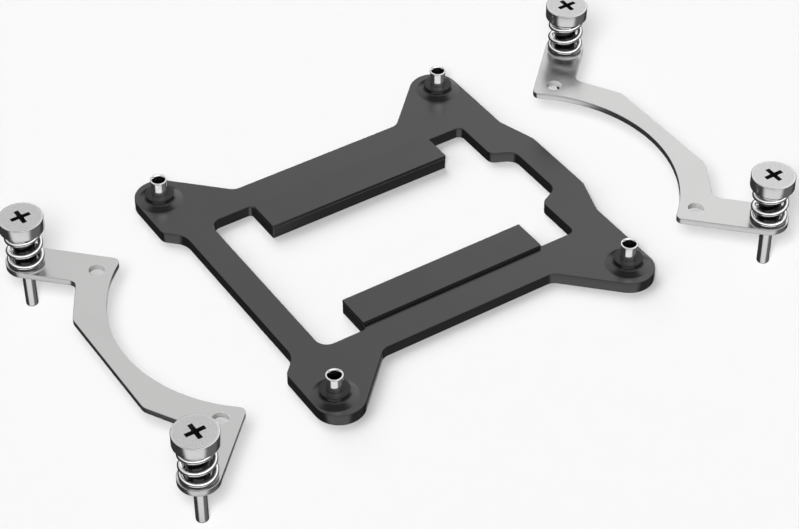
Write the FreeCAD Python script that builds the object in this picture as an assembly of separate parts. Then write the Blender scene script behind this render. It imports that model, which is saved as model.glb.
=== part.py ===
import FreeCAD, Part
import math
import os

# A back frame with four threaded posts, and two spring-screw brackets that stand beside it.
# Millimetres. The origin is the centre of the post square on the frame's underside,
# +X points from the left bracket to the right one, +Y to the rear and +Z up.

Vec = FreeCAD.Vector
ORIGIN = Vec(0, 0, 0)
UP = Vec(0, 0, 1)
SQRT2 = math.sqrt(2)

# The square on which the posts stand and to which the screws are set
hole_pitch = 78.0

# Back frame
frame_thick = 2.9
ear_side = 5.5            # post axis to the ear's outer side
ear_flank = 7.0           # post axis to the ear's 45 degree flank
ear_round = 6.0
ear_tail = 11.0           # post axis to the shoulder where the ear's side ends
ear_fillet = 3.0
shoulder_fillet = 5.0
shoulder_round = 2.0
rail_inset = 6.5          # post axis back to the outer edge of the front and rear rails
rail_width_left = 7.3
rail_width_right = 9.05
left_beam_offset = 1.5    # post axis out to the left beam's outer side
left_beam_width = 6.8
right_beam_width = 9.1
window_round_left = 3.0
window_round_right = 1.5
land_gap = 30.3           # clear distance between the two lands
land_left = -22.4
land_length = 47.9
land_fillet = 0.8

# Notch in the right beam for the socket's screw, with the bulge outside it
notch_depth = 5.4
notch_half_mouth = 10.8
notch_half_floor = 8.2
notch_mouth_round = 2.2
notch_floor_fillet = 3.0
bulge_depth = 3.1
bulge_half_foot = 19.8
bulge_half_top = 10.2
bulge_foot_fillet = 3.0
bulge_top_round = 6.0

# Insulating pads on the lands
pad_thick = 0.9
pad_width = 8.85

# Bosses, posts and insulating washers
boss_radius = 3.7
boss_height = 1.0
boss_flare = 1.6
post_radius = 1.85
post_root_radius = 2.05   # in the frame and the washer
post_root_rise = 0.1      # above the washer
post_bore_radius = 1.45
post_top = 8.8            # above the frame's underside
post_hex_width = 5.5
post_hex_height = 1.4
post_clearance = 0.05     # all round, in the frame and in the washer
washer_radius = 3.42
washer_thick = 0.9

# Bracket plates, in a bracket's own frame: x runs from its screw line towards the cooler
plate_thick = 1.5
arm_half_width = 4.6
recess_radius = 35.0
spine_width = 4.3
spine_half_length = 16.0
elbow_depth = 6.2         # spine's outer edge in to where the slant meets the arm
elbow_fillet = 2.0
spine_round = 3.0
horn_round = 1.5
cooler_hole_radius = 1.8
cooler_hole_margin = 3.89    # recess edge out to the hole's axis

# Where each bracket's screw line and middle stand beside the frame
left_bracket_x = -79.0
right_bracket_x = 67.5
bracket_y = -13.5

# Captive screws
screw_reach = 11.4        # plate's underside down to the tip
screw_pin_radius = 1.42
shoulder_radius = 2.5
shoulder_clearance = 0.08
head_radius = 5.0
head_thick = 3.2
head_chamfer = 0.25
recess_span = 4.6
recess_arm_width = 1.1
recess_depth = 2.0
recess_floor_span = 1.8

# Springs between the plates and the heads
spring_length = 9.1       # plate's top to the head's underside
spring_mean_radius = 3.7
spring_wire_radius = 0.5
spring_turns = 3.7
spring_closed_turns = 0.75   # at each end
spring_closed_rise = 0.12    # in each closed end
spring_end_clearance = 0.05
spring_steps_per_turn = 10
spring_wire_sides = 6

# Retaining clips in the screws' grooves
clip_radius = 3.5
clip_thick = 0.6
clip_groove_radius = 1.15
clip_clearance = 0.05
clip_mouth_width = 2.0

half_pitch = hole_pitch / 2
spine_x = half_pitch - recess_radius - spine_width
elbow_x = spine_x + elbow_depth
cooler_hole_offset = (recess_radius + cooler_hole_margin) / SQRT2
floor_z = 0.0
plate_z = floor_z + screw_reach
plate_top_z = plate_z + plate_thick
head_z = plate_top_z + spring_length
clip_top_z = plate_z - clip_clearance
clip_z = clip_top_z - clip_thick
pad_z = frame_thick
washer_z = frame_thick + boss_height

corners = {
    "rear_left": (-1, 1),
    "front_left": (-1, -1),
    "rear_right": (1, 1),
    "front_right": (1, -1),
}


def prism(wire, z, height):
    """A solid that stands on z with the given closed outline."""
    face = Part.Face(wire)
    face.translate(Vec(0, 0, z))
    return face.extrude(Vec(0, 0, height))


def corner_arc(before, corner, after, radius):
    """The arc that rounds one corner of an outline, from the side of before to that of after."""
    to_before = before - corner
    to_after = after - corner
    to_before.normalize()
    to_after.normalize()
    half_angle = to_before.getAngle(to_after) / 2
    reach = radius / math.tan(half_angle)
    bisector = to_before + to_after
    bisector.normalize()
    middle = corner + bisector * (radius / math.sin(half_angle) - radius)
    return Part.Arc(corner + to_before * reach, middle, corner + to_after * reach)


def rounded_outline(corner_list):
    """A closed outline through (x, y, radius) corners, each rounded by a tangent arc."""
    points = [Vec(x, y, 0) for x, y, radius in corner_list]
    starts, ends, edges = [], [], []
    for i, (x, y, radius) in enumerate(corner_list):
        if radius == 0:
            starts.append(points[i])
            ends.append(points[i])
            continue
        arc = corner_arc(points[i - 1], points[i], points[(i + 1) % len(points)], radius)
        starts.append(arc.StartPoint)
        ends.append(arc.EndPoint)
        edges.append(arc.toShape())
    for end, start in zip(ends, starts[1:] + starts[:1]):
        edges.append(Part.LineSegment(end, start).toShape())
    return Part.Wire(Part.__sortEdges__(edges))


def mirrored_outline(rear_corners):
    """Close a list of corners on the rear side with the same corners on the front side."""
    front_corners = [(x, -y, radius) for x, y, radius in reversed(rear_corners)]
    return rounded_outline(rear_corners + front_corners)


def turned(profile):
    """A solid of revolution about Z from (radius, z) points."""
    points = [Vec(radius, 0, z) for radius, z in profile]
    face = Part.Face(Part.makePolygon(points + points[:1]))
    return face.revolve(ORIGIN, UP, 360)


def hexagon(width):
    """A regular hexagon with the given width across its flats."""
    corner_radius = width / math.sqrt(3)
    points = [Vec(corner_radius * math.cos(math.radians(angle)),
                  corner_radius * math.sin(math.radians(angle)), 0) for angle in range(0, 361, 60)]
    return Part.makePolygon(points)


def frame_outer():
    ear_x = half_pitch + ear_side
    ear_tip_y = half_pitch + ear_side + ear_flank * SQRT2
    rail_y = half_pitch - rail_inset
    crotch_x = rail_y - ear_flank * SQRT2
    beam_x = half_pitch + left_beam_offset
    shoulder_y = half_pitch - ear_tail
    return mirrored_outline([
        (-beam_x, shoulder_y - (ear_x - beam_x), shoulder_fillet),
        (-ear_x, shoulder_y, shoulder_round),
        (-ear_x, ear_tip_y, ear_round),
        (-crotch_x, rail_y, ear_fillet),
        (crotch_x, rail_y, ear_fillet),
        (ear_x, ear_tip_y, ear_round),
        (ear_x, bulge_half_foot, bulge_foot_fillet),
        (ear_x + bulge_depth, bulge_half_top, bulge_top_round),
    ])


def frame_window():
    rail_y = half_pitch - rail_inset
    left_x = half_pitch + left_beam_offset - left_beam_width
    right_x = half_pitch + ear_side - right_beam_width
    land_right = land_left + land_length
    return mirrored_outline([
        (-left_x, rail_y - rail_width_left, window_round_left),
        (land_left, rail_y - rail_width_left, land_fillet),
        (land_left, land_gap / 2, 0),
        (land_right, land_gap / 2, 0),
        (land_right, rail_y - rail_width_right, land_fillet),
        (right_x, rail_y - rail_width_right, window_round_right),
        (right_x, notch_half_mouth, notch_mouth_round),
        (right_x + notch_depth, notch_half_floor, notch_floor_fillet),
    ])


def boss(x, y):
    """A raised seat for a washer that flares out into the frame's top face."""
    foot_radius = boss_radius + boss_flare
    solid = turned([
        (0, 0),
        (foot_radius, 0),
        (foot_radius, frame_thick),
        (boss_radius, washer_z),
        (0, washer_z),
    ])
    solid.translate(Vec(x, y, 0))
    return solid


def back_frame():
    frame = prism(frame_outer(), 0, frame_thick)
    frame = frame.cut(prism(frame_window(), 0, frame_thick))
    for side_x, side_y in corners.values():
        x, y = side_x * half_pitch, side_y * half_pitch
        frame = frame.fuse(boss(x, y))
        hole = Part.makeCylinder(post_root_radius + post_clearance, washer_z, Vec(x, y, 0))
        pocket = prism(hexagon(post_hex_width + 2 * post_clearance), 0, post_hex_height)
        pocket.translate(Vec(x, y, 0))
        frame = frame.cut(hole).cut(pocket)
    return frame.removeSplitter()


def pad(side_y):
    near, far = land_gap / 2, land_gap / 2 + pad_width
    right = land_left + land_length
    outline = Part.makePolygon([Vec(land_left, side_y * near, 0), Vec(right, side_y * near, 0),
                                Vec(right, side_y * far, 0), Vec(land_left, side_y * far, 0),
                                Vec(land_left, side_y * near, 0)])
    return prism(outline, pad_z, pad_thick)


def post(x, y):
    """A threaded post, drawn with plain walls, that a hexagonal foot keeps from turning."""
    tube = Part.makeCylinder(post_radius, post_top)
    root = Part.makeCylinder(post_root_radius, washer_z + washer_thick + post_root_rise)
    foot = prism(hexagon(post_hex_width), 0, post_hex_height)
    bore = Part.makeCylinder(post_bore_radius, post_top)
    solid = tube.fuse(root).fuse(foot).cut(bore).removeSplitter()
    solid.translate(Vec(x, y, 0))
    return solid


def post_washer(x, y):
    ring = Part.makeCylinder(washer_radius, washer_thick, Vec(x, y, washer_z))
    hole = Part.makeCylinder(post_root_radius + post_clearance, washer_thick, Vec(x, y, washer_z))
    return ring.cut(hole)


def plate_outline():
    """The plate's outline: two 45 degree arms with round ends, joined by a curved spine."""
    arm_reach = arm_half_width * SQRT2
    recess_x = half_pitch
    outer_sum = half_pitch + arm_reach
    inner_sum = half_pitch - arm_reach
    # The arm's edge runs along x + y = outer_sum, and the horn's round touches it and the recess.
    horn_line = outer_sum - horn_round * SQRT2
    horn_ring = recess_radius + horn_round
    half_b = (horn_line + recess_x) / 2
    horn_x = half_b - math.sqrt(half_b ** 2 - (recess_x ** 2 + horn_line ** 2 - horn_ring ** 2) / 2)
    horn_y = horn_line - horn_x
    on_edge = Vec(horn_x + horn_round / SQRT2, horn_y + horn_round / SQRT2, 0)
    to_recess = Vec(recess_x - horn_x, -horn_y, 0)
    to_recess.normalize()
    on_recess = Vec(horn_x, horn_y, 0) + to_recess * horn_round
    between = to_recess + Vec(1 / SQRT2, 1 / SQRT2, 0)
    between.normalize()
    horn_middle = Vec(horn_x, horn_y, 0) + between * horn_round

    def upper_edges():
        end_out = Vec(arm_half_width / SQRT2, half_pitch + arm_half_width / SQRT2, 0)
        end_in = Vec(-arm_half_width / SQRT2, half_pitch - arm_half_width / SQRT2, 0)
        end_tip = Vec(-arm_half_width / SQRT2, half_pitch + arm_half_width / SQRT2, 0)
        elbow = Vec(elbow_x, inner_sum - elbow_x, 0)
        bend = Vec(spine_x, spine_half_length, 0)
        elbow_arc = corner_arc(end_in, elbow, bend, elbow_fillet)
        bend_arc = corner_arc(elbow, bend, Vec(spine_x, 0, 0), spine_round)
        return [
            Part.Arc(on_recess, horn_middle, on_edge).toShape(),
            Part.LineSegment(on_edge, end_out).toShape(),
            Part.Arc(end_out, end_tip, end_in).toShape(),
            Part.LineSegment(end_in, elbow_arc.StartPoint).toShape(),
            elbow_arc.toShape(),
            Part.LineSegment(elbow_arc.EndPoint, bend_arc.StartPoint).toShape(),
            bend_arc.toShape(),
            Part.LineSegment(bend_arc.EndPoint, Vec(spine_x, 0, 0)).toShape(),
        ]

    half = Part.Wire(upper_edges())
    other = half.mirror(ORIGIN, Vec(0, 1, 0))
    recess_arc = Part.Arc(on_recess, Vec(recess_x - recess_radius, 0, 0),
                          Vec(on_recess.x, -on_recess.y, 0)).toShape()
    return Part.Wire(Part.__sortEdges__(half.Edges + other.Edges + [recess_arc]))


def bracket(screw_line_x, facing):
    """A bracket plate whose recess faces +X where facing is 1 and -X where it is -1."""
    plate = prism(plate_outline(), plate_z, plate_thick)
    cooler_hole_x = half_pitch - cooler_hole_offset
    for side in (-1, 1):
        screw_hole = Part.makeCylinder(shoulder_radius + shoulder_clearance, plate_thick,
                                       Vec(0, side * half_pitch, plate_z))
        cooler_hole = Part.makeCylinder(cooler_hole_radius, plate_thick,
                                        Vec(cooler_hole_x, side * cooler_hole_offset, plate_z))
        plate = plate.cut(screw_hole).cut(cooler_hole)
    if facing < 0:
        plate.rotate(ORIGIN, UP, 180)
    plate.translate(Vec(screw_line_x, bracket_y, 0))
    return plate


def screw(x, y):
    """A captive screw turned in one piece: head, shoulder, clip groove and pin."""
    head_top = head_z + head_thick
    body = turned([
        (0, floor_z),
        (screw_pin_radius, floor_z),
        (screw_pin_radius, clip_z - clip_clearance),
        (clip_groove_radius, clip_z - clip_clearance),
        (clip_groove_radius, plate_z),
        (shoulder_radius, plate_z),
        (shoulder_radius, head_z),
        (head_radius, head_z),
        (head_radius, head_top - head_chamfer),
        (head_radius - head_chamfer, head_top),
        (0, head_top),
    ])
    solid = body.cut(cross_recess(head_top))
    solid.translate(Vec(x, y, 0))
    return solid


def cross_recess(top):
    """A cross-shaped recess whose arms grow shorter towards its floor."""
    arm = Part.makePolygon([
        Vec(-recess_span / 2, 0, top),
        Vec(-recess_floor_span / 2, 0, top - recess_depth),
        Vec(recess_floor_span / 2, 0, top - recess_depth),
        Vec(recess_span / 2, 0, top),
        Vec(-recess_span / 2, 0, top),
    ])
    arm = Part.Face(arm).extrude(Vec(0, recess_arm_width, 0))
    arm.translate(Vec(0, -recess_arm_width / 2, 0))
    return arm.fuse(arm.rotated(ORIGIN, UP, 90))


def spring_height(turn):
    """Height of the wire's centre after a number of turns: flat ends, and a smooth climb between."""
    low = plate_top_z + spring_end_clearance + spring_wire_radius
    high = head_z - spring_end_clearance - spring_wire_radius
    from_end = min(turn, spring_turns - turn)
    if from_end <= spring_closed_turns:
        rise = spring_closed_rise * from_end / spring_closed_turns
        return low + rise if turn < spring_turns / 2 else high - rise
    share = (turn - spring_closed_turns) / (spring_turns - 2 * spring_closed_turns)
    climb = high - low - 2 * spring_closed_rise
    return low + spring_closed_rise + climb * share


def wire_section(turn):
    """The wire's outline, a regular polygon square to the coil, after a number of turns."""
    angle = 2 * math.pi * turn
    outward = Vec(math.cos(angle), math.sin(angle), 0)
    corners_round = []
    for side in range(spring_wire_sides):
        around = 2 * math.pi * (side + 0.5) / spring_wire_sides
        corners_round.append(outward * (spring_mean_radius + spring_wire_radius * math.cos(around))
                             + UP * (spring_height(turn) + spring_wire_radius * math.sin(around)))
    return corners_round


def spring(x, y):
    """A compression spring with closed ends, as one closed shell of flat facets."""
    steps = round(spring_turns * spring_steps_per_turn)
    sections = [wire_section(spring_turns * step / steps) for step in range(steps + 1)]
    faces = [Part.Face(Part.makePolygon(sections[0] + sections[0][:1])),
             Part.Face(Part.makePolygon(sections[-1] + sections[-1][:1]))]
    for before, after in zip(sections, sections[1:]):
        for side in range(spring_wire_sides):
            a, b = before[side - 1], before[side]
            c, d = after[side], after[side - 1]
            faces.append(Part.Face(Part.makePolygon([a, b, c, a])))
            faces.append(Part.Face(Part.makePolygon([a, c, d, a])))
    solid = Part.makeSolid(Part.makeShell(faces))
    solid.translate(Vec(x, y, 0))
    return solid


def clip(x, y, outward):
    """An open ring that snaps into the screw's groove and stops it against the plate."""
    ring = Part.makeCylinder(clip_radius, clip_thick)
    hole = Part.makeCylinder(clip_groove_radius + clip_clearance, clip_thick)
    mouth = Part.makeBox(clip_radius, clip_mouth_width, clip_thick, Vec(0, -clip_mouth_width / 2, 0))
    solid = ring.cut(hole).cut(mouth)
    if outward < 0:
        solid.rotate(ORIGIN, UP, 180)
    solid.translate(Vec(x, y, clip_z))
    return solid


def screw_places():
    """The screw's axis at each corner, and the side of its bracket that faces away from the frame."""
    lines = {-1: left_bracket_x, 1: right_bracket_x}
    return {name: (lines[side_x], bracket_y + side_y * half_pitch, side_x)
            for name, (side_x, side_y) in corners.items()}


def build():
    nodes = {
        "back_frame": back_frame(),
        "pad_rear": pad(1),
        "pad_front": pad(-1),
        "bracket_left": bracket(left_bracket_x, 1),
        "bracket_right": bracket(right_bracket_x, -1),
    }
    for name, (side_x, side_y) in corners.items():
        x, y = side_x * half_pitch, side_y * half_pitch
        nodes["post_" + name] = post(x, y)
        nodes["post_washer_" + name] = post_washer(x, y)
    for name, (x, y, outward) in screw_places().items():
        nodes["screw_" + name] = screw(x, y)
        nodes["spring_" + name] = spring(x, y)
        nodes["clip_" + name] = clip(x, y, outward)
    return nodes


os.makedirs("parts", exist_ok=True)
for node, shape in build().items():
    shape.exportStep("parts/" + node + ".step")
    print(node, "valid", shape.isValid(), "solids", len(shape.Solids), "volume", round(shape.Volume, 2))
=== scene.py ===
import math

import bmesh
import bpy
from mathutils import Matrix, Vector


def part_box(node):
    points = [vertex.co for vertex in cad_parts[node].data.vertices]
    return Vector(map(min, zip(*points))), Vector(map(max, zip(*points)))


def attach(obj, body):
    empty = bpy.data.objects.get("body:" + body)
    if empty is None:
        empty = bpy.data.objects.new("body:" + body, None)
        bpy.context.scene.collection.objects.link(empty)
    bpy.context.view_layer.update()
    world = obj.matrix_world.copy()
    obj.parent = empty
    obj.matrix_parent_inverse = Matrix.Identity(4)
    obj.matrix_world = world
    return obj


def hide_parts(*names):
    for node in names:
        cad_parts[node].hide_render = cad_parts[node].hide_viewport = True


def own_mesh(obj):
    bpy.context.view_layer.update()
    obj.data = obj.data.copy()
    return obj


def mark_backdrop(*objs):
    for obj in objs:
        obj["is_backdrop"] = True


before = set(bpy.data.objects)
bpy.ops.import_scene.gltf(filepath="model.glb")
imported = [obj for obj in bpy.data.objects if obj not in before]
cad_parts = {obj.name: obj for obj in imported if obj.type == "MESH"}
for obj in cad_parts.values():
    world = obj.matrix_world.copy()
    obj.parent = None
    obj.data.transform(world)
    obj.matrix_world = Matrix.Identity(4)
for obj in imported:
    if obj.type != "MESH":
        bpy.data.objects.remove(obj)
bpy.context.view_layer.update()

mm = 0.001
corners = ("rear_left", "front_left", "rear_right", "front_right")
rootBody = "frame_and_brackets"
print("frame loaded:", len(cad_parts), "nodes")


# Shader maths: a wire is one output of a node, and an expression on wires adds Math nodes.
class Wire:
    def __init__(self, finish, socket):
        self.finish = finish
        self.socket = socket

    def maths(self, operation, *values):
        return self.finish.node("ShaderNodeMath", {"operation": operation}, dict(enumerate(values)))

    def __add__(self, other):
        return self.maths("ADD", self, other)

    def __radd__(self, other):
        return self.maths("ADD", other, self)

    def __sub__(self, other):
        return self.maths("SUBTRACT", self, other)

    def __rsub__(self, other):
        return self.maths("SUBTRACT", other, self)

    def __mul__(self, other):
        return self.maths("MULTIPLY", self, other)

    def __rmul__(self, other):
        return self.maths("MULTIPLY", other, self)

    def __truediv__(self, other):
        return self.maths("DIVIDE", self, other)

    def __rtruediv__(self, other):
        return self.maths("DIVIDE", other, self)

    def __pow__(self, other):
        return self.maths("POWER", self, other)

    def above(self, low, high):
        # 0 up to low, 1 from high, and a soft step between them
        return self.finish.node(
            "ShaderNodeMapRange", {"interpolation_type": "SMOOTHSTEP", "clamp": True},
            {"Value": self, "From Min": low, "From Max": high, "To Min": 0.0, "To Max": 1.0})


class Finish:
    def __init__(self, tree):
        self.tree = tree
        self.tree.nodes.clear()

    def node(self, kind, settings=None, sockets=None, output=0):
        made = self.tree.nodes.new(kind)
        for name, value in (settings or {}).items():
            setattr(made, name, value)
        for name, value in (sockets or {}).items():
            if isinstance(value, Wire):
                self.tree.links.new(value.socket, made.inputs[name])
            else:
                made.inputs[name].default_value = value
        return Wire(self, made.outputs[output] if made.outputs else None)

    def place(self):
        return self.node("ShaderNodeTexCoord", output="Object")

    def stretched(self, vector, scale):
        return self.node("ShaderNodeVectorMath", {"operation": "MULTIPLY"}, {0: vector, 1: scale})

    def noise(self, vector, scale, detail=2.0, roughness=0.5):
        return self.node(
            "ShaderNodeTexNoise", None,
            {"Vector": vector, "Scale": scale, "Detail": detail, "Roughness": roughness})

    def blendColours(self, factor, first, second):
        # a Mix node's sockets 6 and 7 and its output 2 are its colours
        return self.node(
            "ShaderNodeMix", {"data_type": "RGBA"}, {0: factor, 6: first, 7: second}, 2)

    def bump(self, height, depth):
        return self.node(
            "ShaderNodeBump", None, {"Height": height, "Distance": depth, "Strength": 1.0})

    def tone(self, mask, sizes, warmth=0.0):
        # a finish's dark grey where the mask is 0, and its light one where it is 1
        return self.blendColours(mask, grey(sizes["dark"], warmth), grey(sizes["light"], warmth))

    def sheen(self, mask, sizes):
        # the same for its smoothest and roughest places
        return sizes["smooth"] + (sizes["rough"] - sizes["smooth"]) * mask


def grey(level, warmth=0.0):
    return (level * (1 + warmth), level, level * (1 - warmth), 1)


def surface(name, build, *given):
    # a material whose function gives the sockets of one Principled shader
    material = bpy.data.materials.new(name)
    material.use_nodes = True
    finish = Finish(material.node_tree)
    shader = finish.node("ShaderNodeBsdfPrincipled", None, build(finish, *given))
    finish.node("ShaderNodeOutputMaterial", None, {"Surface": shader})
    return material


mouldingFinish = {
    "dark": 0.004, "light": 0.006, "patch": 45.0, "patchEdge": (0.35, 0.65),
    "smooth": 0.20, "rough": 0.27, "grain": 5200.0, "grainDepth": 0.005 * mm,
    "grainShare": 0.3, "shine": 0.90,
}
padFinish = {
    **mouldingFinish, "patch": 90.0, "smooth": 0.21, "rough": 0.28,
    "grain": 3600.0, "grainDepth": 0.006 * mm, "shine": 0.87,
}
washerFinish = {
    **mouldingFinish, "dark": 0.003, "light": 0.005, "patch": 200.0, "rough": 0.28,
    "grain": 6000.0, "grainDepth": 0.004 * mm, "shine": 0.36,
}


def mouldedPlastic(finish, sizes):
    # faint patches of gloss under a fine, even grain
    place = finish.place()
    patches = finish.noise(place, sizes["patch"], detail=4.0)
    grain = finish.noise(place, sizes["grain"], detail=2.0, roughness=0.6)
    share = sizes["grainShare"]
    return {
        "Base Color": finish.tone(patches.above(*sizes["patchEdge"]), sizes),
        "Roughness": finish.sheen((1 - share) * patches + share * grain, sizes),
        "Specular IOR Level": sizes["shine"],
        "Normal": finish.bump(grain, sizes["grainDepth"]),
    }


padEdgeShadeFinish = {
    "dark": 0.006, "light": 0.010, "streak": 1200.0, "streakEdge": (0.3, 0.7),
    "stretch": (1.0, 1.0, 0.15), "smooth": 0.55, "rough": 0.70, "shine": 0.25,
}


def padCutEdgeAndShade(finish, sizes):
    # the pad's knife-cut wall: black and quite dull; its low shine is partly the real cut and
    # partly painted shade, standing in for the black frame that the wall would mirror
    place = finish.stretched(finish.place(), sizes["stretch"])
    streaks = finish.noise(place, sizes["streak"], detail=3.0)
    return {
        "Base Color": finish.tone(streaks.above(*sizes["streakEdge"]), sizes),
        "Roughness": finish.sheen(streaks, sizes),
        "Specular IOR Level": sizes["shine"],
    }


sheetFinish = {
    "dark": 0.60, "light": 0.64, "warmth": 0.004, "patch": 30.0, "patchEdge": (0.3, 0.7),
    "smooth": 0.20, "rough": 0.27, "grain": 9000.0, "stretch": (0.12, 1.0, 1.0),
    "grainDepth": 0.0010 * mm, "grainShare": 0.5,
}


def punchedSheet(finish, sizes):
    # rolled sheet: a very fine grain that runs one way
    place = finish.place()
    patches = finish.noise(place, sizes["patch"], detail=3.0)
    along = finish.stretched(place, sizes["stretch"])
    grain = finish.noise(along, sizes["grain"], detail=3.0, roughness=0.6)
    share = sizes["grainShare"]
    return {
        "Base Color": finish.tone(patches.above(*sizes["patchEdge"]), sizes, sizes["warmth"]),
        "Metallic": 1.0,
        "Roughness": finish.sheen((1 - share) * patches + share * grain, sizes),
        "Normal": finish.bump(grain, sizes["grainDepth"]),
    }


headFaceFinish = {
    "dark": 0.55, "light": 0.72, "speckle": 4200.0, "speckleEdge": (0.35, 0.65),
    "speckleDepth": 0.006 * mm, "smooth": 0.26, "rough": 0.40,
}


def headFace(finish, sizes):
    # the head's level face: satin, with a fine even speckle
    speckle = finish.noise(finish.place(), sizes["speckle"], detail=3.0, roughness=0.65)
    return {
        "Base Color": finish.tone(speckle.above(*sizes["speckleEdge"]), sizes),
        "Metallic": 1.0,
        "Roughness": finish.sheen(speckle, sizes),
        "Normal": finish.bump(speckle, sizes["speckleDepth"]),
    }


turnedFinish = {
    "dark": 0.66, "light": 0.74, "rings": 14000.0, "stretch": (0.02, 0.02, 1.0),
    "ringDepth": 0.0012 * mm, "smooth": 0.15, "rough": 0.25,
}


def turnedSteel(finish, sizes):
    # polished on a lathe: faint rings that change mostly with height
    place = finish.stretched(finish.place(), sizes["stretch"])
    rings = finish.noise(place, sizes["rings"], detail=2.0)
    return {
        "Base Color": finish.tone(rings, sizes),
        "Metallic": 1.0,
        "Roughness": finish.sheen(rings, sizes),
        "Normal": finish.bump(rings, sizes["ringDepth"]),
    }


recessFinish = {
    "dark": 0.005, "light": 0.012, "stain": 1800.0, "stainEdge": (0.3, 0.7),
    "smooth": 0.45, "rough": 0.65, "metal": 0.6, "shine": 0.2,
}


def recessBlack(finish, sizes):
    # the driver recess, near black: painted shade in its deep hollow
    stain = finish.noise(finish.place(), sizes["stain"], detail=3.0)
    return {
        "Base Color": finish.tone(stain.above(*sizes["stainEdge"]), sizes),
        "Metallic": sizes["metal"],
        "Roughness": finish.sheen(stain, sizes),
        "Specular IOR Level": sizes["shine"],
    }


wireFinish = {
    "dark": 0.80, "light": 0.90, "marks": 2600.0, "markEdge": (0.3, 0.7),
    "stretch": (1.0, 1.0, 3.0), "markDepth": 0.0015 * mm, "smooth": 0.07, "rough": 0.14,
}


def drawnWire(finish, sizes):
    # bright wire with the faint marks of its die
    place = finish.stretched(finish.place(), sizes["stretch"])
    marks = finish.noise(place, sizes["marks"], detail=3.0, roughness=0.6)
    return {
        "Base Color": finish.tone(marks.above(*sizes["markEdge"]), sizes),
        "Metallic": 1.0,
        "Roughness": finish.sheen(marks, sizes),
        "Normal": finish.bump(marks, sizes["markDepth"]),
    }


nickelFinish = {
    "dark": 0.76, "light": 0.84, "warmth": 0.006, "clouds": 900.0, "cloudEdge": (0.3, 0.7),
    "smooth": 0.08, "rough": 0.16, "metal": 1.0,
}
# the same clouds in the near-black bores and shoulders, which are painted shade inside the posts,
# inside the springs and under the heads; on the plain clips; and on the torn, dull grey wall that a
# punch leaves in a hole
boreShadeFinish = {
    **nickelFinish, "dark": 0.006, "light": 0.014, "clouds": 1500.0, "smooth": 0.30, "rough": 0.45,
}
shankShadeFinish = {
    **nickelFinish, "dark": 0.035, "light": 0.075, "clouds": 1500.0, "smooth": 0.14, "rough": 0.26,
}
clipFinish = {
    **nickelFinish, "dark": 0.34, "light": 0.46, "clouds": 1400.0, "smooth": 0.24, "rough": 0.36,
}
shearedFinish = {
    **nickelFinish, "dark": 0.40, "light": 0.47, "clouds": 2500.0, "smooth": 0.50, "rough": 0.64,
    "metal": 0.0,
}


def cloudedMetal(finish, sizes):
    # plain plate or steel, with soft clouds in its brightness
    clouds = finish.noise(finish.place(), sizes["clouds"], detail=3.0)
    return {
        "Base Color": finish.tone(clouds.above(*sizes["cloudEdge"]), sizes, sizes["warmth"]),
        "Metallic": sizes["metal"],
        "Roughness": finish.sheen(clouds, sizes),
    }


materials = {
    "moulding": surface("frame_black", mouldedPlastic, mouldingFinish),
    "pad": surface("pad_black", mouldedPlastic, padFinish),
    # partly painted shade: the low-shine wall of the front pad
    "padEdgeShade": surface("pad_edge_painted_shade", padCutEdgeAndShade, padEdgeShadeFinish),
    "washer": surface("washer_black", mouldedPlastic, washerFinish),
    "sheet": surface("bracket_steel", punchedSheet, sheetFinish),
    "sheared": surface("bracket_hole", cloudedMetal, shearedFinish),
    "headFace": surface("screw_head_face", headFace, headFaceFinish),
    "turned": surface("screw_steel", turnedSteel, turnedFinish),
    # near-black: painted shade in the driver recess
    "recess": surface("screw_recess", recessBlack, recessFinish),
    # near-black: painted shade inside the springs and under the heads
    "shankShade": surface("screw_shank_painted_shade", cloudedMetal, shankShadeFinish),
    "wire": surface("spring_steel", drawnWire, wireFinish),
    "nickel": surface("post_nickel", cloudedMetal, nickelFinish),
    # near-black: painted shade inside the posts
    "bore": surface("post_bore_painted_shade", cloudedMetal, boreShadeFinish),
    "clip": surface("clip_steel", cloudedMetal, clipFinish),
}
print("materials:", len(materials))


# Mesh work. Points are in millimetres, and vertices in metres.
meshing = {
    "weld": 0.0005 * mm, "sameHeight": 0.001 * mm, "level": 0.99, "places": 7,
    "straight": math.radians(89), "sharpTurn": math.radians(25), "crease": math.radians(34),
}


def roundedPath(cornerList, closed=True, steps=4):
    # (x, y, radius) corners to points, each corner with a radius replaced by an arc
    points = []
    count = len(cornerList)
    for i, (x, y, radius) in enumerate(cornerList):
        here = Vector((x, y))
        if radius <= 0 or (not closed and i in (0, count - 1)):
            points.append(here)
            continue
        before = (Vector(cornerList[i - 1][:2]) - here).normalized()
        after = (Vector(cornerList[(i + 1) % count][:2]) - here).normalized()
        halfAngle = before.angle(after) / 2
        if halfAngle > meshing["straight"]:
            points.append(here)
            continue
        centre = here + (before + after).normalized() * (radius / math.sin(halfAngle))
        start = here + before * (radius / math.tan(halfAngle)) - centre
        end = here + after * (radius / math.tan(halfAngle)) - centre
        turn = start.angle_signed(end)
        for step in range(steps + 1):
            arm = start.copy()
            arm.rotate(Matrix.Rotation(-turn * step / steps, 2))
            points.append(centre + arm)
    return points


def signedArea(points):
    return sum(a.x * b.y - b.x * a.y for a, b in zip(points, points[1:] + points[:1])) / 2


def neighbours(points):
    # each point of a closed path, between the one before it and the one after it
    return zip(points[-1:] + points[:-1], points, points[1:] + points[:1])


def insetPath(points, distance):
    # moves a closed path to its left, which is into the material
    moved = []
    for before, here, after in neighbours(points):
        into = (here - before).normalized()
        out = (after - here).normalized()
        left, right = Vector((-into.y, into.x)), Vector((-out.y, out.x))
        moved.append(here + (left + right) * (distance / (1 + left.dot(right))))
    return moved


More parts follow.
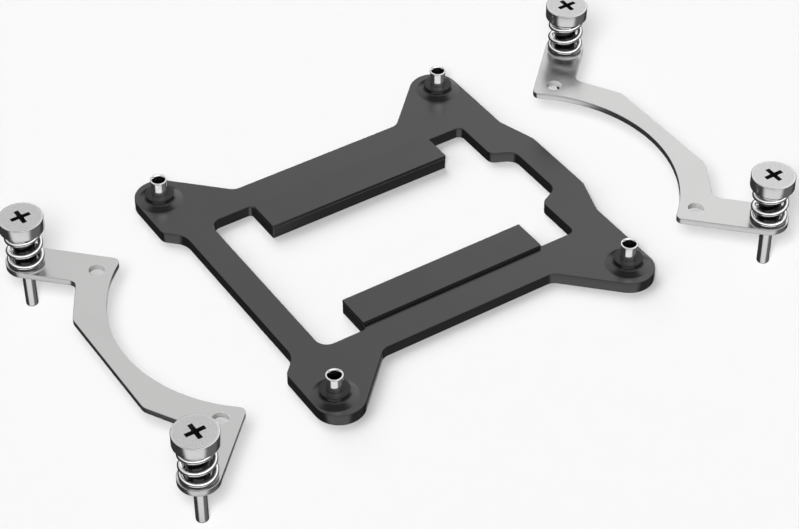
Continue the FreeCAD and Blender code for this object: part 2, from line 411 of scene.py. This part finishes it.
def nodeOutlines(node, height):
    # the closed outlines in which a CAD node's walls meet its level face at a height
    source = bmesh.new()
    source.from_mesh(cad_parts[node].data)
    bmesh.ops.remove_doubles(source, verts=source.verts, dist=meshing["weld"])
    follow = {}
    for edge in source.edges:
        level = [face for face in edge.link_faces if abs(face.normal.z) > meshing["level"]]
        fromHeight = max(abs(vert.co.z - height * mm) for vert in edge.verts)
        if len(level) == 1 and fromHeight < meshing["sameHeight"]:
            a, b = edge.verts
            follow.setdefault(a, []).append(b)
            follow.setdefault(b, []).append(a)
    places = meshing["places"]
    outlines = []
    while follow:
        start = min(follow, key=lambda vert: (round(vert.co.x, places), round(vert.co.y, places)))
        walk = [start]
        previous = None
        while True:
            ahead = [vert for vert in follow[walk[-1]] if vert is not previous]
            previous = walk[-1]
            if ahead[0] is start:
                break
            walk.append(ahead[0])
        for vert in walk:
            del follow[vert]
        outlines.append([Vector((vert.co.x / mm, vert.co.y / mm)) for vert in walk])
    source.free()
    return sorted(outlines, key=lambda path: -abs(signedArea(path)))


def eased(outline, radius):
    # rounds only the real corners of an outline, and leaves the points of its arcs
    cornerList = []
    for before, here, after in neighbours(outline):
        turn = (here - before).angle(after - here)
        cornerList.append((here.x, here.y, radius if turn > meshing["sharpTurn"] else 0))
    return roundedPath(cornerList)


def facing(outline, anticlockwise):
    return outline if (signedArea(outline) > 0) == anticlockwise else outline[::-1]


def addRing(mesh, points, height):
    return [mesh.verts.new((point.x * mm, point.y * mm, height * mm)) for point in points]


def wall(mesh, low, high, material=0):
    for i in range(len(low)):
        face = mesh.faces.new((low[i - 1], low[i], high[i], high[i - 1]))
        face.material_index = material


def cap(mesh, rings, up, material=0):
    # a level face between rings of vertices, with its border kept crisp
    edges = []
    for ring in rings:
        for a, b in zip(ring, ring[1:] + ring[:1]):
            edge = mesh.edges.get((a, b)) or mesh.edges.new((a, b))
            edge.smooth = False
            edges.append(edge)
    filled = bmesh.ops.triangle_fill(
        mesh, use_beauty=True, use_dissolve=False, edges=edges, normal=(0, 0, 1 if up else -1))
    for face in filled["geom"]:
        if isinstance(face, bmesh.types.BMFace):
            face.material_index = material
            if (face.normal.z > 0) != up:
                face.normal_flip()


def capEnds(mesh, lowRings, highRings):
    cap(mesh, highRings, True)
    cap(mesh, lowRings, False)


def easedWall(mesh, outline, bottom, top, radius, steps=4, material=0):
    # the wall of one outline, with its edges rounded; gives its lowest and highest rings
    angles = [math.pi / 2 * step / steps for step in range(steps + 1)]
    levels = []
    for angle in angles:
        levels.append((radius * (1 - math.sin(angle)), bottom + radius * (1 - math.cos(angle))))
    for angle in angles:
        levels.append((radius * (1 - math.cos(angle)), top - radius * (1 - math.sin(angle))))
    rings = [addRing(mesh, insetPath(outline, inset), height) for inset, height in levels]
    for low, high in zip(rings, rings[1:]):
        wall(mesh, low, high, material)
    return rings[0], rings[-1]


def polar(x, y, radius, angle):
    return Vector((x + radius * math.cos(angle), y + radius * math.sin(angle)))


def circle(x, y, radius, count):
    return [polar(x, y, radius, 2 * math.pi * i / count) for i in range(count)]


def turnedRings(mesh, x, y, profile, count, material=0):
    # walls through (radius, height) points about a vertical axis; gives the first and last rings
    rings = [addRing(mesh, circle(x, y, point.x, count), point.y) for point in profile]
    for low, high in zip(rings, rings[1:]):
        wall(mesh, low, high, material)
    return rings[0], rings[-1]


def meshData(mesh, name):
    data = bpy.data.meshes.new(name)
    mesh.to_mesh(data)
    mesh.free()
    return data


def sceneObject(name, data):
    made = bpy.data.objects.new(name, data)
    bpy.context.scene.collection.objects.link(made)
    return made


def closeMesh(mesh, name, looks, body, node, crease=meshing["crease"]):
    bmesh.ops.recalc_face_normals(mesh, faces=mesh.faces)
    for edge in mesh.edges:
        if len(edge.link_faces) == 2 and edge.calc_face_angle(0) > crease:
            edge.smooth = False
    for face in mesh.faces:
        face.smooth = True
    data = meshData(mesh, name)
    for look in looks:
        data.materials.append(materials[look])
    piece = sceneObject(name, data)
    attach(piece, body)
    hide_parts(node)
    return piece


def centreOf(node):
    low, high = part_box(node)
    return (low.x + high.x) / 2 / mm, (low.y + high.y) / 2 / mm


def heights(node):
    low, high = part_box(node)
    return low.z / mm, high.z / mm


# The moulded frame, with bosses that flare up out of its top
mould = {
    "edge": 0.12, "corner": 0.25, "top": 2.9, "flareEnd": 5.42, "flareFoot": 5.25,
    "flareRound": 0.6, "rim": 0.28, "rimLean": 0.04, "rimRound": 0.12, "bossTop": 3.9,
    "bossRadius": 3.62, "bossEdge": 0.08, "hole": 2.1, "pocketWidth": 5.6, "pocketTop": 1.4,
    "roundSteps": 6, "around": 72,
}


def bossProfile(sizes=mould):
    # a cone up from the top face to the boss's narrow, nearly upright rim
    radius, top = sizes["bossRadius"], sizes["bossTop"]
    return roundedPath([
        (sizes["flareEnd"], sizes["top"], 0),
        (sizes["flareFoot"], sizes["top"], sizes["flareRound"]),
        (radius + sizes["rimLean"], top - sizes["rim"], sizes["rimRound"]),
        (radius, top, sizes["bossEdge"]),
        (radius - 2 * sizes["bossEdge"], top, 0),
    ], False, sizes["roundSteps"])


def hexagonPath(x, y, width, count):
    # points round a hexagon, evenly along its sides
    tips = [polar(x, y, width / math.sqrt(3), math.radians(60 * side)) for side in range(7)]
    each = count // 6
    return [tips[side].lerp(tips[side + 1], i / each) for side in range(6) for i in range(each)]


def makeFrame(sizes=mould):
    mesh = bmesh.new()
    lowRings, highRings = [], []
    for i, outline in enumerate(nodeOutlines("back_frame", sizes["top"])[:2]):
        path = facing(eased(outline, sizes["corner"]), i == 0)  # the outside, then the window
        low, high = easedWall(mesh, path, 0, sizes["top"], sizes["edge"])
        lowRings.append(low)
        highRings.append(high)
    for corner in corners:
        x, y = centreOf("post_" + corner)
        foot, rim = turnedRings(mesh, x, y, bossProfile(), sizes["around"])
        highRings.append(foot)
        bore = [Vector((sizes["hole"], sizes[end])) for end in ("bossTop", "pocketTop")]
        boreTop, boreBottom = turnedRings(mesh, x, y, bore, sizes["around"])
        cap(mesh, [rim, boreTop], True)
        pocket = hexagonPath(x, y, sizes["pocketWidth"], sizes["around"])
        shelf = addRing(mesh, pocket, sizes["pocketTop"])
        mouth = addRing(mesh, pocket, 0)
        cap(mesh, [shelf, boreBottom], False)
        wall(mesh, shelf, mouth)
        lowRings.append(mouth)
    capEnds(mesh, lowRings, highRings)
    piece = closeMesh(mesh, "backFrame", ["moulding"], rootBody, "back_frame")
    piece.visible_glossy = False  # the bright posts then mirror the studio down to their washers
    return piece


framePieces = [makeFrame()]
print("frame moulded")


# The flat pads on the frame's two lands
padSizes = {"edge": 0.06, "corner": 0.12}


def makePad(side, sizes=padSizes):
    node = "pad_" + side
    looks = ["pad", "padEdgeShade"]
    # the front pad's wall takes the dull, low-shine edge finish, which paints in shade there
    edgeLook = "padEdgeShade" if side == "front" else "pad"  # one pad shows its dull cut edge
    bottom, top = heights(node)
    mesh = bmesh.new()
    outline = facing(eased(nodeOutlines(node, top)[0], sizes["corner"]), True)
    low, high = easedWall(
        mesh, outline, bottom, top, sizes["edge"], material=looks.index(edgeLook))
    capEnds(mesh, [low], [high])
    return closeMesh(mesh, "pad" + side.capitalize(), looks, rootBody, node)


for side in ("rear", "front"):
    framePieces.append(makePad(side))
print("pads laid")


# Threaded posts and the washers at their feet
postSizes = {
    "hexWidth": 5.5, "hexTop": 1.4, "root": 2.05, "rootTop": 4.4, "radius": 1.85,
    "beadBottom": 0.42, "neckRound": 0.05, "lip": 2.0, "beadTop": 0.28, "beadRound": 0.08,
    "topEdge": 0.15, "countersinkWidth": 0.20, "countersinkDepth": 0.30, "roundSteps": 5,
    "bore": 1.45, "threadDepth": 0.17, "pitch": 0.5, "leadIn": 0.45, "perPitch": 8, "around": 48,
}


def threadRadius(angle, height, bottom, top, sizes=postSizes):
    # a screw thread's wall: the crest climbs one pitch a turn, and dies out at both mouths
    phase = (height / sizes["pitch"] - angle / (2 * math.pi)) % 1
    crest = 1 - abs(2 * phase - 1)
    inside = min(height - bottom, top - height) / sizes["leadIn"]
    return sizes["bore"] - sizes["threadDepth"] * crest * max(0, min(1, inside))


def makePost(corner, sizes=postSizes):
    node = "post_" + corner
    looks = ["nickel", "bore"]
    x, y = centreOf(node)
    bottom, top = heights(node)
    mesh = bmesh.new()
    count = sizes["around"]
    outside = roundedPath([
        (sizes["root"], sizes["hexTop"], 0),
        (sizes["root"], sizes["rootTop"], 0),
        (sizes["radius"], sizes["rootTop"], 0),
        (sizes["radius"], top - sizes["beadBottom"], sizes["neckRound"]),
        (sizes["lip"], top - sizes["beadTop"], sizes["beadRound"]),
        (sizes["lip"], top, sizes["topEdge"]),
        (sizes["bore"] + sizes["countersinkWidth"], top, 0),
    ], False, sizes["roundSteps"])
    foot, rim = turnedRings(mesh, x, y, outside, count)
    boreTop = top - sizes["countersinkDepth"]
    rows = round((boreTop - bottom) / sizes["pitch"] * sizes["perPitch"])
    rings = []
    for row in range(rows + 1):
        height = bottom + (boreTop - bottom) * row / rows
        ring = []
        for i in range(count):
            angle = 2 * math.pi * i / count
            ring.append(polar(x, y, threadRadius(angle, height, bottom, boreTop), angle))
        rings.append(addRing(mesh, ring, height))
    for low, high in zip(rings, rings[1:]):
        # the thread's walls take the near-black bore finish: painted shade inside the post
        wall(mesh, low, high, looks.index("bore"))
    wall(mesh, rings[-1], rim)
    hexagon = hexagonPath(x, y, sizes["hexWidth"], count)
    hexTop = addRing(mesh, hexagon, sizes["hexTop"])
    hexBottom = addRing(mesh, hexagon, bottom)
    wall(mesh, hexBottom, hexTop)
    capEnds(mesh, [hexBottom, rings[0]], [hexTop, foot])
    return closeMesh(mesh, "threadedPost_" + corner, looks, rootBody, node)


# The washer's hole fits the post's root, and a lip at its top closes in on the thinner shaft
washerSizes = {
    "radius": 3.42, "edge": 0.1, "lip": 1.88, "lipRound": 0.03, "lipBottom": 4.5, "hole": 2.1,
    "around": 72,
}


def makeWasher(corner, sizes=washerSizes):
    node = "post_washer_" + corner
    x, y = centreOf(node)
    bottom, top = heights(node)
    mesh = bmesh.new()
    profile = roundedPath([
        (sizes["radius"], bottom, sizes["edge"]),
        (sizes["radius"], top, sizes["edge"]),
        (sizes["lip"], top, sizes["lipRound"]),
        (sizes["lip"], sizes["lipBottom"], 0),
        (sizes["hole"], sizes["lipBottom"], 0),
        (sizes["hole"], bottom, 0),
    ])
    first, last = turnedRings(mesh, x, y, profile, sizes["around"])
    wall(mesh, last, first)
    return closeMesh(mesh, "washer_" + corner, ["washer"], rootBody, node)


for corner in corners:
    framePieces += [makePost(corner), makeWasher(corner)]
print("posts and washers set")


# Punched bracket plates: a small rolled edge on every outline and hole
plateSizes = {"edge": 0.10, "holeEdge": 0.06, "corner": 0.2}


def makeBracket(side, sizes=plateSizes):
    node = "bracket_" + side
    looks = ["sheet", "sheared"]
    bottom, top = heights(node)
    mesh = bmesh.new()
    lowRings, highRings = [], []
    for i, outline in enumerate(nodeOutlines(node, top)):
        path = facing(eased(outline, sizes["corner"]), i == 0)  # the outside, then the holes
        edge, look = ("edge", "sheet") if i == 0 else ("holeEdge", "sheared")
        low, high = easedWall(mesh, path, bottom, top, sizes[edge], material=looks.index(look))
        lowRings.append(low)
        highRings.append(high)
    capEnds(mesh, lowRings, highRings)
    name = "bracket" + side.capitalize()
    piece = closeMesh(mesh, name, looks, rootBody, node)
    piece.visible_glossy = False  # the heads and springs then mirror the studio, not the plate
    return piece


for side in ("left", "right"):
    makeBracket(side)
print("brackets punched")


# Captive screws
screwSizes = {
    "pin": 1.42, "tipFlat": 0.2, "tipEdge": 0.42, "pinTop": 10.7, "pinTopRound": 0.05,
    "groove": 1.15, "shoulder": 2.5, "shoulderBottom": 11.4, "shoulderRound": 0.12,
    "head": 5.0, "headBottom": 22.0, "headEdge": 0.22, "underEdge": 0.3,
    "crossSpan": 4.6, "crossArm": 1.1, "crossRound": 0.14, "crossDepth": 2.0,
    "crossFloor": 1.8, "crossTaper": 0.82, "crossFloorRound": 0.08,
    "roundSteps": 5, "around": 96,
}


def crossPath(x, y, span, arm, radius, steps=2):
    # twelve corners of a cross, with its arms along X and Y
    tip, side = span / 2, arm / 2
    quarter = [(tip, -side, radius), (tip, side, radius), (side, side, radius)]
    cornerList = []
    for cos, sin in ((1, 0), (0, 1), (-1, 0), (0, -1)):
        cornerList += [(x + a * cos - b * sin, y + a * sin + b * cos, r) for a, b, r in quarter]
    return roundedPath(cornerList, True, steps)


def makeScrew(corner, sizes=screwSizes):
    node = "screw_" + corner
    looks = ["turned", "headFace", "recess", "shankShade"]
    x, y = centreOf(node)
    bottom, top = heights(node)
    mesh = bmesh.new()
    underHead = sizes["head"] - 2 * sizes["underEdge"]
    pin = [
        (sizes["tipFlat"], bottom, 0),
        (sizes["pin"], bottom, sizes["tipEdge"]),
        (sizes["pin"], sizes["pinTop"], sizes["pinTopRound"]),
        (sizes["groove"], sizes["pinTop"], 0),
        (sizes["groove"], sizes["shoulderBottom"], 0),
    ]
    shoulder = [
        (sizes["groove"], sizes["shoulderBottom"], 0),
        (sizes["shoulder"], sizes["shoulderBottom"], sizes["shoulderRound"]),
        (sizes["shoulder"], sizes["headBottom"], 0),
        (underHead, sizes["headBottom"], 0),
    ]
    head = [
        (underHead, sizes["headBottom"], 0),
        (sizes["head"], sizes["headBottom"], sizes["underEdge"]),
        (sizes["head"], top, sizes["headEdge"]),
        (sizes["head"] - 2 * sizes["headEdge"], top, 0),
    ]
    ends = []
    # the shoulder and the head's underside take the near-black shank finish: painted shade inside
    # the spring and under the head
    for profile, look in ((pin, "turned"), (shoulder, "shankShade"), (head, "turned")):
        path = roundedPath(profile, False, sizes["roundSteps"])
        ends.append(turnedRings(mesh, x, y, path, sizes["around"], looks.index(look)))
    for below, above in zip(ends, ends[1:]):
        for a, b in zip(below[1], above[0]):
            bmesh.ops.weld_verts(mesh, targetmap={a: b})
    tip, rim = ends[0][0], ends[-1][1]
    cap(mesh, [tip], False)
    cross = crossPath(x, y, sizes["crossSpan"], sizes["crossArm"], sizes["crossRound"])
    mouth = addRing(mesh, cross, top)
    floorArm = sizes["crossArm"] * sizes["crossTaper"]
    floorCross = crossPath(x, y, sizes["crossFloor"], floorArm, sizes["crossFloorRound"])
    floorRing = addRing(mesh, floorCross, top - sizes["crossDepth"])
    cap(mesh, [rim, mouth], True, looks.index("headFace"))
    # the recess's walls and floor take the near-black finish: painted shade
    wall(mesh, floorRing, mouth, looks.index("recess"))
    cap(mesh, [floorRing], True, looks.index("recess"))
    return closeMesh(mesh, "captiveScrew_" + corner, looks, "screw_" + corner, node)


# Compression springs, wound to the right, with closed ends
springSizes = {
    "meanRadius": 3.59, "wire": 0.61, "turns": 3.7, "closedTurns": 0.75, "closedRise": 0.12,
    "endGap": 0.05, "endTaper": 0.72, "endLength": 0.12, "travel": 4.5,
    "crease": math.radians(60), "perTurn": 56, "round": 18,
}


def springHeight(turn, low, high, sizes=springSizes):
    # where the middle of the wire is: it climbs a little in the closed end turns, and evenly
    # between them
    first = low + sizes["endGap"] + sizes["wire"]
    last = high - sizes["endGap"] - sizes["wire"]
    fromEnd = min(turn, sizes["turns"] - turn)
    if fromEnd <= sizes["closedTurns"]:
        rise = sizes["closedRise"] * fromEnd / sizes["closedTurns"]
        return first + rise if turn < sizes["turns"] / 2 else last - rise
    share = (turn - sizes["closedTurns"]) / (sizes["turns"] - 2 * sizes["closedTurns"])
    return first + sizes["closedRise"] + (last - first - 2 * sizes["closedRise"]) * share


def makeSpring(corner, sizes=springSizes):
    node = "spring_" + corner
    x, y = centreOf("screw_" + corner)
    low = heights("bracket_left")[1]
    high = screwSizes["headBottom"]
    mesh = bmesh.new()
    steps = round(sizes["turns"] * sizes["perTurn"])
    sections = []
    for step in range(-1, steps + 2):
        onWire = 0 <= step <= steps  # a smaller section beyond each end rounds off the cut wire
        turn = sizes["turns"] * min(max(step, 0), steps) / steps
        angle = 2 * math.pi * turn
        wireRadius = sizes["wire"] * (1 if onWire else sizes["endTaper"])
        beyond = 0 if onWire else math.copysign(sizes["endLength"], step)
        along = Vector((-math.sin(angle), math.cos(angle))) * beyond
        centre = springHeight(turn, low, high)
        ring = []
        for side in range(sizes["round"]):
            around = 2 * math.pi * side / sizes["round"]
            reach = sizes["meanRadius"] + wireRadius * math.cos(around)
            point = (
                x + reach * math.cos(angle) + along.x,
                y + reach * math.sin(angle) + along.y,
                centre + wireRadius * math.sin(around),
            )
            ring.append(mesh.verts.new([value * mm for value in point]))
        sections.append(ring)
    for before, after in zip(sections, sections[1:]):
        wall(mesh, before, after)
    mesh.faces.new(sections[0])
    mesh.faces.new(sections[-1])
    name = "coilSpring_" + corner
    piece = closeMesh(mesh, name, ["wire"], rootBody, node, sizes["crease"])
    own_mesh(piece)
    return piece


# Retaining clips: open rings that bear on the groove with three lugs. Angles are in degrees.
clipSizes = {
    "outer": 3.5, "lug": 1.2, "relief": 2.35, "mouth": 2.0, "backLug": 34, "mouthLug": 30,
    "backLugFlank": 4, "mouthLugFlank": 12, "arcStep": 6, "edge": 0.06, "edgeSteps": 2,
}


def arcPoints(radius, start, end, step):
    count = max(2, round(abs(end - start) / step))
    angles = [math.radians(start + (end - start) * i / count) for i in range(count + 1)]
    return [polar(0, 0, radius, angle) for angle in angles]


def clipOutline(sizes=clipSizes):
    half = sizes["mouth"] / 2
    outerStart = math.degrees(math.asin(half / sizes["outer"]))
    lugStart = math.degrees(math.asin(half / sizes["lug"]))
    lugEnd = lugStart + sizes["mouthLug"]
    reliefStart = lugEnd - sizes["mouthLugFlank"]
    back = sizes["backLug"] / 2
    reliefEnd = back + sizes["backLugFlank"]
    arcs = (
        ("outer", outerStart, 360 - outerStart),
        ("lug", 360 - lugStart, 360 - lugEnd),
        ("relief", 360 - reliefStart, 180 + reliefEnd),
        ("lug", 180 + back, 180 - back),
        ("relief", 180 - reliefEnd, reliefStart),
        ("lug", lugEnd, lugStart),
    )
    path = []
    for name, start, end in arcs:
        path += arcPoints(sizes[name], start, end, sizes["arcStep"])
    return path


def makeClip(corner, sizes=clipSizes):
    node = "clip_" + corner
    x, y = centreOf("screw_" + corner)
    bottom, top = heights(node)
    flip = -1 if "left" in corner else 1  # the mouths open away from the frame
    outline = [Vector((x + flip * point.x, y + flip * point.y)) for point in clipOutline()]
    mesh = bmesh.new()
    low, high = easedWall(
        mesh, facing(outline, True), bottom, top, sizes["edge"], sizes["edgeSteps"])
    capEnds(mesh, [low], [high])
    name = "retainingClip_" + corner
    return closeMesh(mesh, name, ["clip"], "clip_" + corner, node)


for corner in corners:
    makeScrew(corner)
    makeSpring(corner)
    makeClip(corner)
print("screws, springs and clips fitted")


# Floor and lamps: lengths in metres, and the width of a lamp's light in degrees
studio = {
    "floorSize": 8.0, "softboxLight": 1.050, "otherLight": 1.051, "background": 0.960,
    "paperGrain": 900.0, "paperSpread": 0.01,
    "softbox": {"power": 40.2, "radius": 0.074, "leftOfView": 0.045, "aboveView": 0.055},
    "backLamp": {"strength": 3.09, "width": 48, "from": (0.10, 0.70, 0.70)},
    "sideLamp": {"strength": 1.624, "width": 40, "from": (-0.80, 0.25, 0.55)},
}


def floorPaper(finish, lampPlace, sizes):
    # darker where the softbox lights it more, so that the floor looks equally pale all over
    place = finish.place()
    reach = finish.node(
        "ShaderNodeVectorMath", {"operation": "DISTANCE"}, {0: place, 1: lampPlace}, "Value")
    light = sizes["otherLight"] + sizes["softboxLight"] * lampPlace.z / reach
    spread = sizes["paperSpread"]
    grain = 1 - spread / 2 + spread * finish.noise(place, sizes["paperGrain"])
    return {
        "Base Color": finish.blendColours(sizes["background"] / light * grain, grey(0), grey(1)),
        "Roughness": 1.0,
        "Specular IOR Level": 0.0,
    }


def makeFloor(lamp, sizes=studio):
    half = sizes["floorSize"] / 2
    square = [(x * half, y * half, 0) for x, y in ((-1, -1), (1, -1), (1, 1), (-1, 1))]
    mesh = bmesh.new()
    mesh.faces.new([mesh.verts.new(point) for point in square])
    data = meshData(mesh, "floor")
    data.materials.append(surface("floor_paper", floorPaper, lamp.location, sizes))
    floor = sceneObject("floor", data)
    floor.visible_glossy = False
    floor.visible_diffuse = False
    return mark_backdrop(floor)


# The sky is the soft fill that matt surfaces get. The room is what shiny surfaces mirror.
# A pair of numbers is where a soft step begins and ends.
sky = {
    "grey": 0.083, "brightSide": (0.75, -0.66, 0), "sideGain": 0.25,
    "below": 0.7, "horizon": (-0.3, 0.1),
}
room = {
    "toCamera": (-0.540, -0.841, 0), "toRight": (0.841, -0.540, 0),
    "ceiling": 0.80, "ceilingFoot": (0.08, 0.36), "rightGain": 0.34, "rightEdge": (-0.3, 0.3),
    "nearGain": 0.6, "nearEdge": (0.1, 0.5), "overheadLoss": 0.90, "overhead": (0.83, 0.91),
    "card": 0.92, "cardTurn": 0.05, "cardSides": (0.54, 0.80),
    "cardFoot": (-0.92, -0.80), "cardHead": (-0.50, -0.36),
    "farCard": 0.85, "farSides": (0.86, 0.95), "farLeft": (0.05, 0.2),
    "walls": 0.045, "wallsGain": 0.115, "wallsRight": (0.2, 0.8), "wallsNear": (-0.55, -0.25),
}


def makeStudio(sizes=room):
    world = bpy.data.worlds.new("studio")
    bpy.context.scene.world = world
    world.use_nodes = True
    finish = Finish(world.node_tree)
    direction = finish.node("ShaderNodeTexCoord", output="Generated")

    def along(axis):
        return finish.node(
            "ShaderNodeVectorMath", {"operation": "DOT_PRODUCT"}, {0: direction, 1: axis}, "Value")

    height = along((0, 0, 1))
    # the fill is a little stronger from the front and the right, and weaker from below
    fill = sky["grey"] * (1 + sky["sideGain"] * along(sky["brightSide"]))
    fill = fill * (sky["below"] + (1 - sky["below"]) * height.above(*sky["horizon"]))

    # the ceiling is brighter to the right and on the camera's side, and dark straight overhead
    levelShare = (1 - height * height) ** 0.5
    near = along(sizes["toCamera"]) / levelShare
    right = along(sizes["toRight"]) / levelShare
    rightGain = sizes["rightGain"] * (right * levelShare).above(*sizes["rightEdge"])
    nearGain = sizes["nearGain"] * near.above(*sizes["nearEdge"])
    ceilingGrey = (sizes["ceiling"] + rightGain) * (1 + nearGain)
    ceilingGrey = ceilingGrey * (1 - sizes["overheadLoss"] * height.above(*sizes["overhead"]))
    ceiling = height.above(*sizes["ceilingFoot"])

    # the walls are dark, and greyer to the right, with a white card low down on the camera's
    # side and a bright one across from it, to the right
    turn = sizes["cardTurn"]
    card = (near * math.cos(turn) - right * math.sin(turn)).above(*sizes["cardSides"])
    band = height.above(*sizes["cardFoot"]) * (1 - height.above(*sizes["cardHead"]))
    farCard = (-1 * near).above(*sizes["farSides"]) * right.above(*sizes["farLeft"])
    greyer = sizes["wallsGain"] * right.above(*sizes["wallsRight"])
    walls = sizes["walls"] + greyer * near.above(*sizes["wallsNear"])
    plain = walls + sizes["farCard"] * farCard
    low = card * band * sizes["card"] + (1 - card * band) * plain
    mirrored = ceilingGrey * ceiling + (1 - ceiling) * low

    glossy = finish.node("ShaderNodeLightPath", output="Is Glossy Ray")
    camera = finish.node("ShaderNodeLightPath", output="Is Camera Ray")
    strength = glossy * mirrored + (1 - glossy) * fill
    strength = camera * studio["background"] + (1 - camera) * strength
    background = finish.node(
        "ShaderNodeBackground", None, {"Color": (1, 1, 1, 1), "Strength": strength})
    finish.node("ShaderNodeOutputWorld", None, {"Surface": background})


def hangLamp(name, light, place=(0, 0, 0), back=(0, 0, 1)):
    # back points from the lamp away from what it lights
    lamp = sceneObject(name, light)
    lamp.location = place
    lamp.rotation_euler = Vector(back).to_track_quat("Z", "Y").to_euler()
    lamp.visible_glossy = False
    lamp.visible_camera = False
    return lamp


def makeLamps(camera, sizes=studio):
    # a round softbox just over the camera's left shoulder, so that each bracket's shadow stays
    # close round its outline; its light is as strong far off as near
    size = sizes["softbox"]
    softbox = bpy.data.lights.new("softbox", "POINT")
    softbox.energy = size["power"]
    softbox.shadow_soft_size = size["radius"]
    softbox.use_nodes = True
    finish = Finish(softbox.node_tree)
    even = finish.node("ShaderNodeLightFalloff", None, {"Strength": 1.0}, "Constant")
    glow = finish.node("ShaderNodeEmission", None, {"Strength": even})
    finish.node("ShaderNodeOutputLight", None, {"Surface": glow})
    shift = Vector((-size["leftOfView"], size["aboveView"], 0))
    softboxLamp = hangLamp("softbox", softbox, camera.matrix_world @ shift)

    # wide lamps from behind and from the left: only the frame and what sits on it cast their
    # shadows, and for the one at the side only the frame and its pads
    for name, blockers in (("backLamp", framePieces), ("sideLamp", framePieces[:3])):
        size = sizes[name]
        sun = bpy.data.lights.new(name, "SUN")
        sun.energy = size["strength"]
        sun.angle = math.radians(size["width"])
        sun.cycles.use_multiple_importance_sampling = False
        sunLamp = hangLamp(name, sun, back=size["from"])
        shading = bpy.data.collections.new(name + "Shadows")
        for piece in blockers:
            shading.objects.link(piece)
        sunLamp.light_linking.blocker_collection = shading
    return softboxLamp


# The photo's camera: angles in degrees and lengths in millimetres, but its focal length and the
# photo's width in pixels
view = {
    "azimuth": -32.7232, "elevation": 41.1863, "roll": -0.2119, "distance": 538.258,
    "right": 2.1458, "up": -5.6734, "focal": 2327.14, "photoWidth": 799, "sensor": 36.0,
    "nearest": 10, "farthest": 20000,
}


def makeCamera(sizes=view):
    azimuth, elevation, roll = (
        math.radians(sizes[name]) for name in ("azimuth", "elevation", "roll"))
    level = math.cos(elevation)
    back = Vector((math.sin(azimuth) * level, -math.cos(azimuth) * level, math.sin(elevation)))
    right = Vector((math.cos(azimuth), math.sin(azimuth), 0))
    up = back.cross(right)
    turnedRight = math.cos(roll) * right + math.sin(roll) * up
    turnedUp = -math.sin(roll) * right + math.cos(roll) * up
    data = bpy.data.cameras.new("camera")
    data.sensor_width = sizes["sensor"]
    data.lens = sizes["focal"] * sizes["sensor"] / sizes["photoWidth"]
    data.clip_start = sizes["nearest"] * mm
    data.clip_end = sizes["farthest"] * mm
    camera = sceneObject("camera", data)
    place = turnedRight * sizes["right"] + turnedUp * sizes["up"] + back * sizes["distance"]
    turned = Matrix((turnedRight, turnedUp, back)).transposed()
    camera.matrix_world = Matrix.Translation(place * mm) @ turned.to_4x4()
    bpy.context.scene.camera = camera
    return camera


makeStudio()
makeFloor(makeLamps(makeCamera()))
bpy.context.scene.view_settings.view_transform = "Standard"
print("studio lit")
